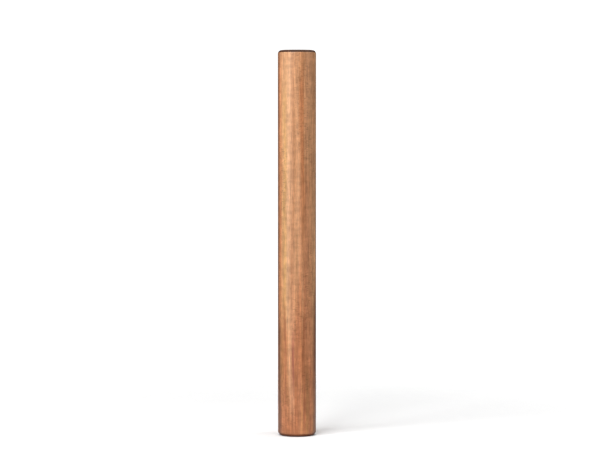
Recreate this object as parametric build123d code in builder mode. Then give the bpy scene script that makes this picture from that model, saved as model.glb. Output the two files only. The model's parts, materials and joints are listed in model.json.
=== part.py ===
from build123d import *
from math import cos, radians, sin, sqrt
from random import Random
import os

# A rainstick: a closed wooden tube with a helix of pins inside and loose beads that trickle through
# them. It stands upright on its bottom disc. Millimetres, +Z up, origin at the middle of the
# underside.

# ---- driving dimensions ----
stick_length = 404.0
stick_diameter = 40.0
rim_radius = 4.0  # both rims are rounded over after the discs are glued on
disc_thickness = 2.5
sleeve_wall = 2.0
core_wall = 2.0
plug_length = 12.0
plug_lead_in = 0.8  # bevel on the plug's inner end, so that it starts into the bore

pin_diameter = 2.0
pin_point_length = 3.0  # the inner end of a pin tapers to a blunt point
pin_point_diameter = 0.8
pins_per_turn = 6
pin_turns = 15
turn_pitch = 24.0  # rise of the helix in one full turn
pin_recess = 0.1  # the cut end of a pin lies this far under the core's surface
pin_tip_gap = 0.5  # a pin stops this far short of the opposite wall

bead_diameter = 3.5
bead_pitch = 3.85  # distance between the centres of neighbouring beads
bead_scatter = 0.15  # how far a bead may lie from its place in the regular heap
bead_layers = 12
bead_pin_gap = 0.35  # gap between a bead's regular place and the nearest pins

# ---- worked out from them ----
stick_radius = stick_diameter / 2
core_radius = stick_radius - sleeve_wall
bore_radius = core_radius - core_wall
tube_length = stick_length - 2 * disc_thickness
tube_bottom = disc_thickness
tube_top = tube_bottom + tube_length
cavity_floor = tube_bottom + plug_length
cavity_ceiling = tube_top - plug_length

pin_radius = pin_diameter / 2
pin_point_radius = pin_point_diameter / 2
pin_angle = 360 / pins_per_turn
pin_rise = turn_pitch / pins_per_turn
pin_count = pins_per_turn * pin_turns
first_pin_height = (stick_length - (pin_count - 1) * pin_rise) / 2
pin_length = bore_radius - pin_tip_gap + core_radius - pin_recess

bead_radius = bead_diameter / 2
row_spacing = bead_pitch * sqrt(3) / 2
layer_spacing = bead_pitch * sqrt(2 / 3)
lane_angle = pin_angle
first_row_radius = (bead_radius + pin_radius + bead_pin_gap) / sin(radians(lane_angle / 2))
first_layer_height = cavity_floor + bead_radius + bead_scatter


def turned_outside():
    """The outside that the glued-up stick is turned and sanded to: a cylinder with rounded rims."""
    with BuildPart() as outside:
        with BuildSketch(Plane.XY):
            Circle(stick_radius)
        extrude(amount=stick_length)
        fillet(outside.edges().filter_by(GeomType.CIRCLE), rim_radius)
    return outside.part


def pointed_pin():
    """One pin, from its blunt point at the origin up to its cut end."""
    with BuildPart() as pin:
        with BuildSketch(Plane.XZ):
            with BuildLine():
                Polyline(
                    (0, 0),
                    (pin_point_radius, 0),
                    (pin_radius, pin_point_length),
                    (pin_radius, pin_length),
                    (0, pin_length),
                    close=True,
                )
            make_face()
        revolve(axis=Axis.Z)
    return pin.part


def pin_plane(index, start_radius):
    """The plane across one pin of the helix, start_radius out from the stick's axis."""
    angle = radians(index * pin_angle)
    outward = Vector(cos(angle), sin(angle), 0)
    height = Vector(0, 0, first_pin_height + index * pin_rise)
    return Plane(origin=height + outward * start_radius, x_dir=(0, 0, 1), z_dir=outward)


def bead_rows(layer):
    """The places in one layer of one lane, along and across the lane.

    The lane lies between two pins, so its layers are triangles. Every other layer rests in the
    hollows of the layer below and has a row less.
    """
    in_hollows = layer % 2
    start = first_row_radius + in_hollows * row_spacing * 2 / 3
    for row in range(3 - in_hollows):
        for place in range(row + 1):
            yield start + row * row_spacing, (place - row / 2) * bead_pitch


def bead_centres(lane, scatter):
    """The bead centres of one lane's heap."""
    turn = radians((lane + 0.5) * lane_angle)
    centres = []
    for layer in range(bead_layers):
        height = first_layer_height + layer * layer_spacing
        for along, across in bead_rows(layer):
            nudge = Vector(*(scatter.uniform(-1, 1) for _ in range(3)))
            nudge = nudge * (bead_scatter / max(nudge.length, 1))
            x = along * cos(turn) - across * sin(turn)
            y = along * sin(turn) + across * cos(turn)
            centres.append(Vector(x, y, height) + nudge)
    return centres


def save(piece, name):
    """Label a finished piece and write it as its own file."""
    piece.label = name
    export_step(piece, f"parts/{name}.step")


os.makedirs("parts", exist_ok=True)
outside_shape = turned_outside()

# ---- outer sleeve: the smooth wooden tube that the hand holds ----
with BuildPart() as outer_sleeve:
    with BuildSketch(Plane.XY.offset(tube_bottom)):
        Circle(stick_radius)
        Circle(core_radius, mode=Mode.SUBTRACT)
    extrude(amount=tube_length)
    add(outside_shape, mode=Mode.INTERSECT)
save(outer_sleeve.part, "outer_sleeve")

# ---- core tube: glued inside the sleeve, with a hole in its wall for each pin ----
with BuildPart() as core_tube:
    with BuildSketch(Plane.XY.offset(tube_bottom)):
        Circle(core_radius)
        Circle(bore_radius, mode=Mode.SUBTRACT)
    extrude(amount=tube_length)
    with Locations(*(pin_plane(index, bore_radius - core_wall) for index in range(pin_count))):
        Cylinder(
            pin_radius,
            3 * core_wall,
            align=(Align.CENTER, Align.CENTER, Align.MIN),
            mode=Mode.SUBTRACT,
        )
save(core_tube.part, "core_tube")

# ---- plugs: close the core's bore at both ends ----
with BuildPart() as bottom_plug:
    with BuildSketch(Plane.XY.offset(tube_bottom)):
        Circle(bore_radius)
    extrude(amount=plug_length)
    chamfer(bottom_plug.faces().sort_by(Axis.Z)[-1].edges(), plug_lead_in)
save(bottom_plug.part, "bottom_plug")

with BuildPart() as top_plug:
    add(bottom_plug.part.mirror(Plane.XY.offset(stick_length / 2)))
save(top_plug.part, "top_plug")

# ---- end discs: dark wood over the end grain of sleeve, core and plug ----
for name, bottom in (("bottom_end_disc", 0), ("top_end_disc", tube_top)):
    with BuildPart() as end_disc:
        with BuildSketch(Plane.XY.offset(bottom)):
            Circle(stick_radius)
        extrude(amount=disc_thickness)
        add(outside_shape, mode=Mode.INTERSECT)
    save(end_disc.part, name)

# ---- pins: one node for each turn of the helix ----
pin_shape = pointed_pin()
for turn in range(pin_turns):
    first = turn * pins_per_turn
    with BuildPart() as pins:
        with Locations(
            *(
                pin_plane(index, pin_tip_gap - bore_radius)
                for index in range(first, first + pins_per_turn)
            )
        ):
            add(pin_shape)
    save(pins.part, f"pins_turn_{turn + 1:02d}")

# ---- beads: at rest they lie heaped on the bottom plug, in the lanes between the pins ----
scatter = Random(11)
for lane in range(pins_per_turn):
    with BuildPart() as beads:
        with Locations(*bead_centres(lane, scatter)):
            Sphere(bead_radius)
    save(beads.part, f"beads_lane_{lane + 1}")
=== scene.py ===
import json
from math import cos, pi, radians, sin, sqrt
from random import Random

import bmesh
import bpy
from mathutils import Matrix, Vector, noise


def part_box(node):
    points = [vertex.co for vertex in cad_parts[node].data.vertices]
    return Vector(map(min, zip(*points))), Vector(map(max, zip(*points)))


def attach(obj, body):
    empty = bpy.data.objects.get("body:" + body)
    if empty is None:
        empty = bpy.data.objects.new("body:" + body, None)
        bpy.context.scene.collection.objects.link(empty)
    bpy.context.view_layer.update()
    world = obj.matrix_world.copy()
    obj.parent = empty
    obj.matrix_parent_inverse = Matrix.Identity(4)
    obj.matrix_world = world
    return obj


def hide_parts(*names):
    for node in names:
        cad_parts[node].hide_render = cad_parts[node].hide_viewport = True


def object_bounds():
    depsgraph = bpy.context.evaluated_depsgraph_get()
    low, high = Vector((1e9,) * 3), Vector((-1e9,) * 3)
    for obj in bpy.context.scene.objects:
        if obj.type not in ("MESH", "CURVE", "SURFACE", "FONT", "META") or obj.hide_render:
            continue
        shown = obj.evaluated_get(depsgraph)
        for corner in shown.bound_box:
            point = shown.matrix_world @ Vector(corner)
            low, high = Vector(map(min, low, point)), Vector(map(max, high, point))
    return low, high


# The looks of a wooden rainstick that stands on a white studio floor. Metres, +Z up, the stick's
# axis on Z, and the camera on the -Y side. "Turn" is the angle round the stick in degrees, from
# the camera's side, positive to its right.

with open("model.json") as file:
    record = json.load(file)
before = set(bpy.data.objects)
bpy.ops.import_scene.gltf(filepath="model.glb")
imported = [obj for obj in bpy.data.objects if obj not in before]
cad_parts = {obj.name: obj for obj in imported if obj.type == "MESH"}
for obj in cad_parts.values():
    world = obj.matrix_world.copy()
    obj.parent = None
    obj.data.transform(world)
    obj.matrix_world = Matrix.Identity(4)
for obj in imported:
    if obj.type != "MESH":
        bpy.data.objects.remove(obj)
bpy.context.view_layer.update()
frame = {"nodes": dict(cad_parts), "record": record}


# ---------------------------------------------------------------- node helpers
NOISE_LOW, NOISE_HIGH = 0.35, 0.65  # most of a noise lies between these


class Nodes:
    """A small builder for one material's node tree."""

    def __init__(self, name):
        self.material = bpy.data.materials.new(name)
        self.material.use_nodes = True
        self.tree = self.material.node_tree
        self.tree.nodes.clear()
        self.output = self.tree.nodes.new("ShaderNodeOutputMaterial")
        self.shader = self.add("ShaderNodeBsdfPrincipled")
        self.link(self.shader.outputs["BSDF"], self.output.inputs["Surface"])
        self.place = self.add("ShaderNodeTexCoord").outputs["Object"]
        split = self.add("ShaderNodeSeparateXYZ")
        self.link(self.place, split.inputs[0])
        self.x, self.y, self.height = split.outputs

    def add(self, kind, **settings):
        node = self.tree.nodes.new(kind)
        for key, value in settings.items():
            setattr(node, key, value)
        return node

    def link(self, source, target):
        self.tree.links.new(source, target)

    def put(self, value, socket):
        """Set a socket from a number, a colour or another node's output."""
        if isinstance(value, bpy.types.NodeSocket):
            self.link(value, socket)
        elif isinstance(value, tuple):
            socket.default_value = (*value, 1.0)
        else:
            socket.default_value = value

    def math(self, operation, a, b=0.0, c=0.0):
        node = self.add("ShaderNodeMath", operation=operation)
        for value, socket in zip((a, b, c), node.inputs):
            self.put(value, socket)
        return node.outputs[0]

    def turn(self):
        """The angle round the stick in degrees: 0 at the front, positive to the right."""
        toward_camera = self.math("MULTIPLY", self.y, -1)
        return self.math("DEGREES", self.math("ARCTAN2", self.x, toward_camera))

    def radius(self, centre=(0, 0)):
        """The distance from a line parallel to the stick's axis."""
        dx = self.math("SUBTRACT", self.x, centre[0])
        dy = self.math("SUBTRACT", self.y, centre[1])
        return self.math("SQRT", self.math("ADD", self.math("POWER", dx, 2), self.math("POWER", dy, 2)))

    def vector(self, x, y, z):
        node = self.add("ShaderNodeCombineXYZ")
        for value, socket in zip((x, y, z), node.inputs):
            self.put(value, socket)
        return node.outputs[0]

    def noise(self, across, along, detail=2.0, roughness=0.5, shift=(0, 0, 0), vector=None):
        """Noise from 0 to 1. across and along are cycles per metre, level and up the stick."""
        mapping = self.add("ShaderNodeMapping")
        self.link(vector or self.place, mapping.inputs["Vector"])
        mapping.inputs["Scale"].default_value = (across, across, along)
        mapping.inputs["Location"].default_value = shift
        node = self.add("ShaderNodeTexNoise")
        self.link(mapping.outputs["Vector"], node.inputs["Vector"])
        node.inputs["Scale"].default_value = 1.0
        node.inputs["Detail"].default_value = detail
        node.inputs["Roughness"].default_value = roughness
        return node.outputs["Fac"]

    def span(self, value, low, high, to_low=0.0, to_high=1.0):
        """value from low..high to to_low..to_high, smoothly, and held at the ends."""
        node = self.add("ShaderNodeMapRange", interpolation_type="SMOOTHSTEP")
        for item, socket in zip((value, low, high, to_low, to_high), node.inputs):
            self.put(item, socket)
        return node.outputs["Result"]

    def swing(self, value, amount):
        """A factor round 1 that follows a noise: 1 - amount to 1 + amount."""
        node = self.add("ShaderNodeMapRange")
        settings = (value, NOISE_LOW, NOISE_HIGH, 1 - amount, 1 + amount)
        for item, socket in zip(settings, node.inputs):
            self.put(item, socket)
        return node.outputs["Result"]

    def ramp(self, value, stops):
        """A colour for a value, between stops of (value, colour)."""
        node = self.add("ShaderNodeValToRGB")
        self.link(value, node.inputs["Fac"])
        elements = node.color_ramp.elements
        while len(elements) < len(stops):
            elements.new(0.5)
        for element, (place, colour) in zip(elements, stops):
            element.position = place
            element.color = (*colour, 1.0)
        return node.outputs["Color"]

    def mix(self, factor, a, b, blend="MIX"):
        """Colour a where the factor is 0, and b where it is 1."""
        node = self.add("ShaderNodeMix", data_type="RGBA", blend_type=blend)
        factor_socket, a_socket, b_socket = node.inputs[0], node.inputs[6], node.inputs[7]
        self.put(factor, factor_socket)
        self.put(a, a_socket)
        self.put(b, b_socket)
        return node.outputs[2]

    def scaled(self, colour, factor):
        """A colour times a number."""
        grey = self.add("ShaderNodeCombineColor")
        for socket in grey.inputs:
            self.put(factor, socket)
        return self.mix(1.0, colour, grey.outputs[0], blend="MULTIPLY")

    def bump(self, height, strength, distance, normal=None):
        node = self.add("ShaderNodeBump")
        node.inputs["Strength"].default_value = strength
        node.inputs["Distance"].default_value = distance
        self.link(height, node.inputs["Height"])
        if normal:
            self.link(normal, node.inputs["Normal"])
        return node.outputs["Normal"]

    def finish(self, colour, roughness, normal, specular=0.5):
        self.link(colour, self.shader.inputs["Base Color"])
        self.link(roughness, self.shader.inputs["Roughness"])
        self.link(normal, self.shader.inputs["Normal"])
        self.shader.inputs["Specular IOR Level"].default_value = specular
        return self.material


def srgb(red, green, blue):
    """A colour given as 0 to 255 on screen, as linear values."""
    values = []
    for channel in (red, green, blue):
        share = channel / 255
        values.append(share / 12.92 if share <= 0.04045 else ((share + 0.055) / 1.055) ** 2.4)
    return tuple(values)


# ---------------------------------------------------------------- the sleeve's wood
# Streaks along the grain, all round the stick: where they lie round it and up it, and the colour
# that they take. A few are painted light rather than grain: the dark ones at the left and right
# edges are painted shade, and two light ones on the left are partly a painted highlight.
# (turn, half width in degrees, lowest, highest, share, colour)
GRAIN_STREAKS_AND_PAINTED_LIGHT = (
    (-60, 9, 0.13, 0.40, 0.60, srgb(207, 133, 91)),     # salmon, down the left
    (-79, 14, 0.10, 0.42, 0.85, srgb(124, 78, 56)),     # painted shade: brown, beside it on the left edge
    (-70, 13, -0.02, 0.13, 0.80, srgb(96, 62, 46)),     # painted shade: dark, low on the left edge
    (-40, 7, 0.125, 0.365, 0.75, srgb(212, 164, 106)),  # golden sapwood
    (-28, 6, 0.11, 0.40, 0.50, srgb(226, 178, 140)),    # pale, beside it: partly wood, partly a painted highlight of the key light
    (-17, 8, 0.02, 0.42, 0.45, srgb(212, 160, 124)),    # a little less pale, further in
    (-25, 4, 0.02, 0.16, 0.55, srgb(212, 160, 118)),    # a light streak low on the left: partly wood, partly that painted highlight continued down
    (-11, 4, 0.055, 0.11, 0.75, srgb(158, 88, 70)),     # a short wine-red streak
    (14, 7, 0.06, 0.38, 0.50, srgb(184, 112, 70)),      # red heartwood right of the middle
    (30, 11, 0.0, 0.28, 0.55, srgb(162, 98, 62)),       # its darker edge, in the lower half
    (21, 4, 0.0, 0.135, 0.62, srgb(130, 72, 44)),       # a dark wavy line low on the right
    (34, 6, 0.0, 0.075, 0.50, srgb(152, 110, 66)),      # olive, beside it
    (41, 15, 0.08, 0.42, 0.50, srgb(176, 120, 86)),     # brown, down the right
    (74, 17, -0.02, 0.15, 0.80, srgb(104, 70, 54)),     # painted shade: dark, low on the right edge
    (87, 12, -0.02, 0.29, 0.42, srgb(108, 72, 54)),     # painted shade: and brown, a little behind it
    (118, 8, 0.05, 0.30, 0.60, srgb(206, 156, 104)),    # golden, at the back right
    (150, 5, 0.0, 0.22, 0.50, srgb(138, 80, 50)),       # dark, at the back
    (-120, 7, 0.12, 0.40, 0.55, srgb(170, 100, 62)),    # red, at the back left
    (-158, 6, 0.0, 0.26, 0.50, srgb(212, 158, 114)),    # light, at the back left
)


def reddish_wood(stick_height, glue_height):
    """Varnished reddish hardwood: soft bands, fibres up the stick, pores and short cross flecks. Its colour
    also holds painted shade at the edges, a painted highlight and painted light towards the top.
    """
    wood = Nodes("reddish_wood")
    turn = wood.turn()

    # The borders of every colour break up into fibres, which stray a little round the stick.
    fray = wood.noise(1500, 14, detail=3, roughness=0.6, shift=(7, 2, 1))

    # More red and darker towards the foot, lighter towards the top: partly the wood's own tone, partly
    # painted light that fades down the stick away from the lamps near its top. Tongues of the lighter wood
    # run down the grain.
    bands = wood.noise(115, 2.6, detail=3, shift=(3.1, 0.7, 5.2))
    bands = wood.math("ADD", bands, wood.math("MULTIPLY_ADD", fray, 0.20, -0.10))
    lower_tone_with_painted_shade = wood.ramp(bands, [
        (0.30, srgb(150, 88, 54)),
        (0.42, srgb(167, 105, 68)),
        (0.52, srgb(179, 116, 80)),
        (0.61, srgb(185, 126, 82)),
        (0.72, srgb(175, 102, 68)),
    ])
    upper_tone_with_painted_light = wood.ramp(bands, [
        (0.30, srgb(178, 118, 78)),
        (0.42, srgb(198, 142, 100)),
        (0.52, srgb(212, 158, 118)),
        (0.61, srgb(218, 166, 120)),
        (0.72, srgb(206, 140, 100)),
    ])
    tongues = wood.math("MULTIPLY_ADD", wood.noise(260, 5, detail=2, shift=(4, 4, 4)), 0.20, -0.10)
    # Painted light and wood tone: the colour turns lighter from 0.06 m to 0.2 m up the stick.
    painted_light_and_tone_upward = wood.span(wood.math("ADD", wood.height, tongues), 0.06, 0.20)
    colour = wood.mix(painted_light_and_tone_upward, lower_tone_with_painted_shade, upper_tone_with_painted_light)

    # The streaks wander a few degrees from side to side, and end in ragged points.
    wander = wood.math("MULTIPLY_ADD", wood.noise(2, 16, detail=2, shift=(0, 9, 3)), 10, -5)
    stray = wood.math("ADD", wander, wood.math("MULTIPLY_ADD", fray, 16, -8))
    strayed = wood.math("ADD", turn, stray)
    ragged = wood.math("ADD", wood.height, wood.math("MULTIPLY_ADD", fray, 0.08, -0.04))
    for centre, half, low, high, share, tint in GRAIN_STREAKS_AND_PAINTED_LIGHT:
        away = wood.math("ABSOLUTE", wood.math("SUBTRACT", strayed, centre))
        side = wood.span(away, half * 0.35, half * 1.5, share, 0.0)
        foot = wood.span(ragged, low - 0.012, low + 0.02)
        head = wood.span(ragged, high - 0.02, high + 0.012, 1.0, 0.0)
        ends = wood.math("MULTIPLY", foot, head)
        frayed = wood.math("MULTIPLY", wood.span(fray, 0.3, 0.6, 0.55, 1.1), ends)
        colour = wood.mix(wood.math("MULTIPLY", side, frayed), colour, tint)

    ribbons = wood.noise(330, 15, detail=3, roughness=0.6, shift=(1, 4, 2))
    mottle = wood.noise(210, 85, detail=3, roughness=0.6, shift=(3, 8, 5))
    fibres = wood.noise(1100, 60, detail=4, roughness=0.6)
    hairs = wood.noise(4200, 70, detail=2, shift=(5, 1, 0))
    curl = wood.noise(95, 230, detail=2, shift=(2, 2, 8))
    patches = wood.noise(60, 14, detail=1, shift=(6, 3, 4))
    flecks = wood.span(wood.noise(260, 1050, detail=2, shift=(0, 5, 7)), 0.56, 0.66)
    flecks = wood.math("MULTIPLY", flecks, wood.span(patches, 0.46, 0.60))
    pores = wood.span(wood.noise(3300, 190, detail=1, shift=(9, 0, 2)), 0.63, 0.69)

    shade = wood.math("MULTIPLY", wood.swing(ribbons, 0.12), wood.swing(fibres, 0.15))
    shade = wood.math("MULTIPLY", shade, wood.swing(mottle, 0.11))
    shade = wood.math("MULTIPLY", shade, wood.swing(hairs, 0.09))
    shade = wood.math("MULTIPLY", shade, wood.swing(curl, 0.08))
    shade = wood.math("MULTIPLY", shade, wood.math("MULTIPLY_ADD", flecks, -0.28, 1.0))
    shade = wood.math("MULTIPLY", shade, wood.math("MULTIPLY_ADD", pores, -0.30, 1.0))
    colour = wood.scaled(colour, shade)

    # Darker over most of the rounded rim at either end, for a few millimetres from the end disc.
    darker_stretch = 0.003
    from_end = wood.math("MINIMUM", wood.height, wood.math("SUBTRACT", stick_height, wood.height))
    darkening = wood.span(from_end, glue_height, glue_height + darker_stretch, 0.85, 1.0)
    colour = wood.scaled(colour, darkening)

    roughness = wood.math("MULTIPLY_ADD", fibres, 0.16, 0.40)
    roughness = wood.math("ADD", roughness, wood.math("MULTIPLY", pores, 0.15))
    relief = wood.math("MULTIPLY_ADD", fibres, 0.5, wood.math("MULTIPLY", hairs, 0.3))
    relief = wood.math("SUBTRACT", relief, wood.math("MULTIPLY", pores, 0.8))
    normal = wood.bump(relief, 0.30, 0.00012)
    normal = wood.bump(curl, 0.15, 0.0004, normal)
    return wood.finish(colour, roughness, normal, specular=0.3)


# ---------------------------------------------------------------- the other woods and the beads
def dark_wood(stick_radius, disc_thickness):
    """Dark brown hardwood of the end discs, its grain straight across the disc."""
    grain_turn = 24
    lit_rim_begins, lit_rim_full = 0.004, 0.002  # in from the stick's side: where the painted light on the foot's rim begins, and where it is full
    wood = Nodes("dark_wood")
    board = wood.add("ShaderNodeMapping")
    wood.link(wood.place, board.inputs["Vector"])
    board.inputs["Rotation"].default_value = (0, 0, radians(grain_turn))
    board.inputs["Scale"].default_value = (0.05, 1, 1)
    board = board.outputs["Vector"]
    bands = wood.noise(260, 90, detail=3, vector=board)
    fibres = wood.noise(1500, 700, detail=4, roughness=0.6, vector=board)
    pores = wood.span(wood.noise(4200, 1500, detail=1, vector=board), 0.62, 0.70)
    colour = wood.ramp(bands, [
        (0.32, srgb(50, 31, 22)),
        (0.50, srgb(68, 44, 31)),
        (0.68, srgb(86, 55, 38)),
    ])
    # The rim that the stick stands on is painted a lighter red-brown: painted light, for the white floor's
    # glow on the rim.
    at_rim = wood.span(wood.radius(), stick_radius - lit_rim_begins, stick_radius - lit_rim_full)
    at_foot = wood.span(wood.height, disc_thickness, 2 * disc_thickness, 0.75, 0.0)
    colour = wood.mix(wood.math("MULTIPLY", at_rim, at_foot), colour, srgb(118, 68, 42))
    shade = wood.math("MULTIPLY", wood.swing(fibres, 0.22), wood.math("MULTIPLY_ADD", pores, -0.4, 1.0))
    roughness = wood.math("MULTIPLY_ADD", fibres, 0.2, 0.44)
    relief = wood.math("SUBTRACT", fibres, pores)
    return wood.finish(wood.scaled(colour, shade), roughness, wood.bump(relief, 0.4, 0.00015), specular=0.2)


def pale_wood(name, heart, ring_width, dark, light):
    """Plain pale wood with growth rings round a heart that lies off the stick's axis."""
    wood = Nodes(name)
    wobble = wood.noise(70, 8, detail=2)
    rings = wood.math("ADD", wood.radius(heart), wood.math("MULTIPLY", wobble, ring_width * 2))
    phase = wood.math("FRACT", wood.math("DIVIDE", rings, ring_width))
    late = wood.span(phase, 0.55, 0.95)
    fibres = wood.noise(1400, 40, detail=4, roughness=0.6)
    colour = wood.mix(late, light, dark)
    colour = wood.scaled(colour, wood.swing(fibres, 0.10))
    roughness = wood.math("MULTIPLY_ADD", fibres, 0.15, 0.55)
    relief = wood.math("MULTIPLY_ADD", late, 0.4, fibres)
    return wood.finish(colour, roughness, wood.bump(relief, 0.35, 0.0002), specular=0.35)


def pin_wood():
    """Split bamboo, with its fibres out along each pin."""
    wood = Nodes("pin_wood")
    lengthwise = wood.vector(wood.math("MULTIPLY", wood.radius(), 0.06), 0.0, wood.height)
    fibres = wood.noise(2600, 2600, detail=4, roughness=0.6, vector=lengthwise)
    tone = wood.noise(60, 130, detail=2)
    colour = wood.ramp(tone, [(0.35, srgb(188, 150, 92)), (0.65, srgb(214, 184, 128))])
    colour = wood.scaled(colour, wood.swing(fibres, 0.16))
    roughness = wood.math("MULTIPLY_ADD", fibres, 0.2, 0.42)
    return wood.finish(colour, roughness, wood.bump(fibres, 0.4, 0.0001), specular=0.4)


def bead_stone():
    """River gravel: every bead its own colour, with darker specks."""
    stone = Nodes("bead_stone")
    each = stone.add("ShaderNodeNewGeometry").outputs["Random Per Island"]
    colour = stone.ramp(each, [
        (0.0, srgb(92, 84, 76)),
        (0.25, srgb(150, 136, 118)),
        (0.5, srgb(186, 170, 148)),
        (0.75, srgb(140, 104, 80)),
        (1.0, srgb(112, 112, 112)),
    ])
    clouds = stone.noise(700, 700, detail=4, roughness=0.65)
    specks = stone.span(stone.noise(2600, 2600, detail=2), 0.60, 0.68)
    shade = stone.math("MULTIPLY", stone.swing(clouds, 0.2), stone.math("MULTIPLY_ADD", specks, -0.45, 1.0))
    roughness = stone.math("MULTIPLY_ADD", clouds, 0.3, 0.35)
    return stone.finish(stone.scaled(colour, shade), roughness, stone.bump(clouds, 0.5, 0.0002))


# ---------------------------------------------------------------- shapes turned on the axis
SEGMENTS = 240     # round each turned piece
SHARP_ANGLE = 30   # degrees: an edge that turns more stays sharp
SLEEVE_RIM_STEPS = 8
DISC_RIM_STEPS = 10
WALL_ROWS = 40     # up the sleeve's straight wall


def placed(name, node, mesh, material):
    """Put a mesh in the scene as a piece that stands for a CAD node."""
    mesh.materials.append(material)
    piece = bpy.data.objects.new(name, mesh)
    bpy.context.scene.collection.objects.link(piece)
    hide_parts(node)
    return piece


def turned(name, node, outline, material):
    """Turn an outline of (radius, height) points into a closed piece that stands for a CAD node.

    An outline that ends on the axis makes a solid disc. Any other is joined up into a ring.
    """
    mesh = bpy.data.meshes.new(name)
    form = bmesh.new()
    rows = []
    for radius, height in outline:
        if radius == 0:
            rows.append([form.verts.new((0, 0, height))] * SEGMENTS)
            continue
        angles = [2 * pi * step / SEGMENTS for step in range(SEGMENTS)]
        rows.append([form.verts.new((radius * cos(a), radius * sin(a), height)) for a in angles])
    pairs = list(zip(rows, rows[1:]))
    if outline[0][0] != 0:
        pairs.append((rows[-1], rows[0]))
    for lower, upper in pairs:
        for step in range(SEGMENTS):
            after = (step + 1) % SEGMENTS
            corners = [lower[step], lower[after], upper[after], upper[step]]
            form.faces.new(list(dict.fromkeys(corners)))
    bmesh.ops.recalc_face_normals(form, faces=form.faces)
    form.to_mesh(mesh)
    form.free()
    mesh.shade_smooth()
    mesh.set_sharp_from_angle(angle=radians(SHARP_ANGLE))
    return placed(name, node, mesh, material)


def rim_arc(radius, rim, low, high, steps):
    """Points round the stick's rounded bottom rim, from one height to another."""
    points = []
    for step in range(steps + 1):
        height = low + (high - low) * step / steps
        points.append((radius - rim + sqrt(rim**2 - (rim - height) ** 2), height))
    return points


def half_width(node):
    """Half of a CAD node's width from left to right."""
    low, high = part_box(node)
    return (high[0] - low[0]) / 2


# The rounded rim runs over the disc and on to the sleeve. Its radius follows from the disc's
# thickness and from how far in the rim still is where the disc ends.
stick_low, stick_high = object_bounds()
stick_height = stick_high[2] - stick_low[2]
stick_radius = half_width("outer_sleeve")
bore_radius = half_width("core_tube")
disc_low, disc_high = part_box("bottom_end_disc")
disc_thickness = disc_high[2] - disc_low[2]
set_in = stick_radius - half_width("bottom_end_disc")
rim_radius = set_in + disc_thickness + sqrt(2 * set_in * disc_thickness)
joint_radius = stick_radius - set_in
glue_line = 0.00012  # the broken edge on either side of a glued joint


def sleeve_outline():
    """The sleeve's section: rounded at both ends, with its edges broken along the glue lines."""
    arc = rim_arc(stick_radius, rim_radius, disc_thickness + glue_line, rim_radius, SLEEVE_RIM_STEPS)
    foot = [(joint_radius - glue_line, disc_thickness), *arc]
    wall = []
    for row in range(1, WALL_ROWS):
        share = row / WALL_ROWS
        wall.append((stick_radius, rim_radius + (stick_height - 2 * rim_radius) * share))
    head = [(radius, stick_height - height) for radius, height in reversed(foot)]
    bore = [(bore_radius, stick_height - disc_thickness), (bore_radius, disc_thickness)]
    return foot + wall + head + bore


def disc_outline():
    """An end disc's section, from the middle of its flat face to the middle of its glued face."""
    arc = rim_arc(stick_radius, rim_radius, 0, disc_thickness - glue_line, DISC_RIM_STEPS)
    glued = [(joint_radius - glue_line, disc_thickness), (joint_radius / 2, disc_thickness)]
    return [(0, 0), (arc[0][0] / 2, 0), *arc, *glued, (0, disc_thickness)]


# ---------------------------------------------------------------- the beads' shapes
LANES = 6
SMALLEST_BEAD = 10       # vertices: an island with fewer is a sliver at a bead's pole
PEBBLE_SEED = 5
PEBBLE_NARROWEST = 0.92  # a pebble's width along an axis, at the least, of the bead's
PEBBLE_HOLLOW = 0.08     # how deep its deepest hollows are, of its radius
PEBBLE_LUMPS = 1.3       # how closely its lumps lie: larger is closer
NOISE_REACH = 100        # how far off in the noise a pebble's own lumps may be taken from


def bead_places(node):
    """The middle and the radius of each bead in a CAD node: each is an island of its mesh."""
    form = bmesh.new()
    form.from_mesh(frame["nodes"][node].data)
    found = set()
    places = []
    for start in form.verts:
        if start in found:
            continue
        found.add(start)
        island = [start]
        for vertex in island:
            for edge in vertex.link_edges:
                neighbour = edge.other_vert(vertex)
                if neighbour not in found:
                    found.add(neighbour)
                    island.append(neighbour)
        if len(island) < SMALLEST_BEAD:
            continue
        low = Vector(min(vertex.co[axis] for vertex in island) for axis in range(3))
        high = Vector(max(vertex.co[axis] for vertex in island) for axis in range(3))
        places.append(((low + high) / 2, (high.z - low.z) / 2))
    form.free()
    return places


def pebbles(name, node, material, chance):
    """One lane's beads as slightly uneven stones, each inside the round bead it stands for."""
    mesh = bpy.data.meshes.new(name)
    form = bmesh.new()
    for place, radius in bead_places(node):
        squeeze = Vector(chance.uniform(PEBBLE_NARROWEST, 1.0) for _ in range(3))
        grain = Vector(chance.uniform(0, NOISE_REACH) for _ in range(3))
        ball = bmesh.ops.create_icosphere(form, subdivisions=3, radius=1.0)
        for vertex in ball["verts"]:
            hollow = PEBBLE_HOLLOW * (1 + noise.noise(vertex.co * PEBBLE_LUMPS + grain)) / 2
            vertex.co = place + vertex.co * squeeze * radius * (1 - hollow)
    form.to_mesh(mesh)
    form.free()
    mesh.shade_smooth()
    return placed(name, node, mesh, material)


# ---------------------------------------------------------------- the stick
materials = {
    "reddish_wood": reddish_wood(stick_height, disc_thickness),
    "dark_wood": dark_wood(stick_radius, disc_thickness),
    "core_wood": pale_wood("core_wood", (0.03, 0.02), 0.0022, srgb(186, 148, 104), srgb(214, 182, 138)),
    "plug_wood": pale_wood("plug_wood", (0.006, -0.004), 0.0018, srgb(176, 136, 92), srgb(208, 174, 128)),
    "pin_wood": pin_wood(),
    "bead_stone": bead_stone(),
}
for part in frame["record"]["subparts"]:
    slots = frame["nodes"][part["node"]].data.materials
    slots.clear()
    slots.append(materials[part["material_slot"]])

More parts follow.
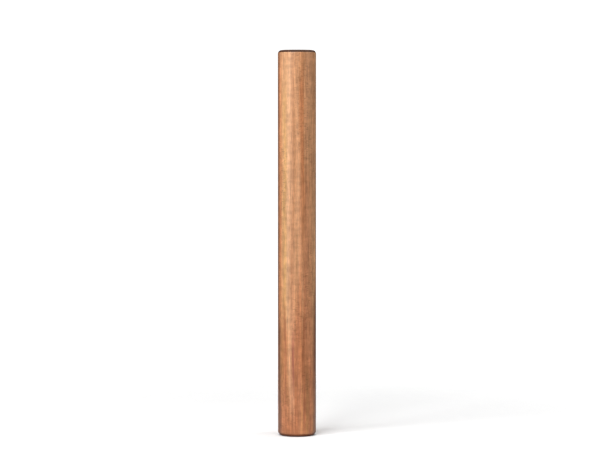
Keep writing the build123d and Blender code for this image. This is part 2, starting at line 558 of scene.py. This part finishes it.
bottom_disc_outline = disc_outline()
top_disc_outline = [(radius, stick_height - height) for radius, height in bottom_disc_outline]
for name, node, outline, slot in (
    ("turned_sleeve", "outer_sleeve", sleeve_outline(), "reddish_wood"),
    ("turned_bottom_disc", "bottom_end_disc", bottom_disc_outline, "dark_wood"),
    ("turned_top_disc", "top_end_disc", top_disc_outline, "dark_wood"),
):
    piece = turned(name, node, outline, materials[slot])
    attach(piece, "stick")

chance = Random(PEBBLE_SEED)
for lane in range(1, LANES + 1):
    piece = pebbles(f"pebbles_lane_{lane}", f"beads_lane_{lane}", materials["bead_stone"], chance)
    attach(piece, f"beads_{lane}")


# ---------------------------------------------------------------- camera
sensor_width = 0.036
focal_length = 0.132
camera_distance = 2.31
camera_height = 0.330
camera_side = 0.0037
camera_pitch = 2.716  # degrees down from level

camera_data = bpy.data.cameras.new("camera")
camera_data.lens = focal_length * 1000
camera_data.sensor_width = sensor_width * 1000
camera_data.clip_end = 200
camera = bpy.data.objects.new("camera", camera_data)
camera.location = (camera_side, -camera_distance, camera_height)
camera.rotation_euler = (radians(90 - camera_pitch), 0, 0)
bpy.context.scene.collection.objects.link(camera)
bpy.context.scene.camera = camera


# ---------------------------------------------------------------- floor and light
def floor():
    """White paper that fades into the white backdrop away from the stick."""
    half = 3.0
    fade_from, fade_to = 0.15, 0.65
    below_stick = 0.0002
    mesh = bpy.data.meshes.new("studio_floor")
    corners = [(-half, -half, 0), (half, -half, 0), (half, half, 0), (-half, half, 0)]
    mesh.from_pydata(corners, [], [(0, 1, 2, 3)])
    plane = bpy.data.objects.new("studio_floor", mesh)
    bpy.context.scene.collection.objects.link(plane)
    paper = Nodes("studio_paper")
    tone = paper.noise(3, 3)
    colour = paper.ramp(tone, [(0.0, (0.87, 0.87, 0.87)), (1.0, (0.89, 0.89, 0.89))])
    paper.link(colour, paper.shader.inputs["Base Color"])
    paper.link(paper.span(paper.radius(), fade_from, fade_to, 1.0, 0.0), paper.shader.inputs["Alpha"])
    paper.shader.inputs["Roughness"].default_value = 0.9
    paper.shader.inputs["Specular IOR Level"].default_value = 0.1
    mesh.materials.append(paper.material)
    plane.location.z = -below_stick


def aimed(light, turn, elevation, target, distance):
    """Put a light out from target, and point it there."""
    turn, rise = radians(turn), radians(elevation)
    away = Vector((sin(turn) * cos(rise), -cos(turn) * cos(rise), sin(rise)))
    light.location = Vector(target) + away * distance
    light.rotation_euler = away.to_track_quat("Z", "Y").to_euler()
    bpy.context.scene.collection.objects.link(light)


def softbox(name, turn, elevation, distance, width, height, power, target):
    """A rectangular studio light."""
    data = bpy.data.lights.new(name, "AREA")
    data.shape = "RECTANGLE"
    data.size = width
    data.size_y = height
    data.energy = power
    aimed(bpy.data.objects.new(name, data), turn, elevation, target, distance)


def wide_light(name, turn, elevation, spread, strength, gloss=True):
    """A wide, even light over the whole stick and floor. gloss says whether shiny wood shows it."""
    distance = 3.0
    data = bpy.data.lights.new(name, "SUN")
    data.angle = radians(spread)
    data.energy = strength
    light = bpy.data.objects.new(name, data)
    light.visible_glossy = gloss
    aimed(light, turn, elevation, (0, 0, 0), distance)


def backdrop(seen, lighting):
    """A white backdrop: how bright the camera sees it, and how much it lights the stick."""
    sky = bpy.data.worlds.new("studio")
    bpy.context.scene.world = sky
    sky.use_nodes = True
    nodes, links = sky.node_tree.nodes, sky.node_tree.links
    nodes.clear()
    output = nodes.new("ShaderNodeOutputWorld")
    mix = nodes.new("ShaderNodeMixShader")
    path = nodes.new("ShaderNodeLightPath")
    for socket, strength in ((1, lighting), (2, seen)):
        background = nodes.new("ShaderNodeBackground")
        background.inputs["Color"].default_value = (1, 1, 1, 1)
        background.inputs["Strength"].default_value = strength
        links.new(background.outputs[0], mix.inputs[socket])
    links.new(path.outputs["Is Camera Ray"], mix.inputs[0])
    links.new(mix.outputs[0], output.inputs[0])


floor()
softbox("key_front", -22, 34, 1.2, 0.40, 0.40, 8.5, target=(0, 0, 0.38))
softbox("key_left", -50, 34, 0.9, 0.35, 0.35, 5.5, target=(0, 0, 0.39))
softbox("fill_right", 40, 45, 1.2, 0.8, 0.8, 3.0, target=(0, 0, 0.35))
softbox("edge_right", 95, 35, 0.9, 0.3, 0.3, 2.6, target=(0, 0, 0.42))
wide_light("front", 0, 20, 50, 0.3)
wide_light("back", 180, 6, 40, 1.1, gloss=False)
wide_light("ceiling", 0, 90, 60, 1.36)
backdrop(seen=1.1, lighting=0.0)
bpy.context.scene.view_settings.view_transform = "Standard"
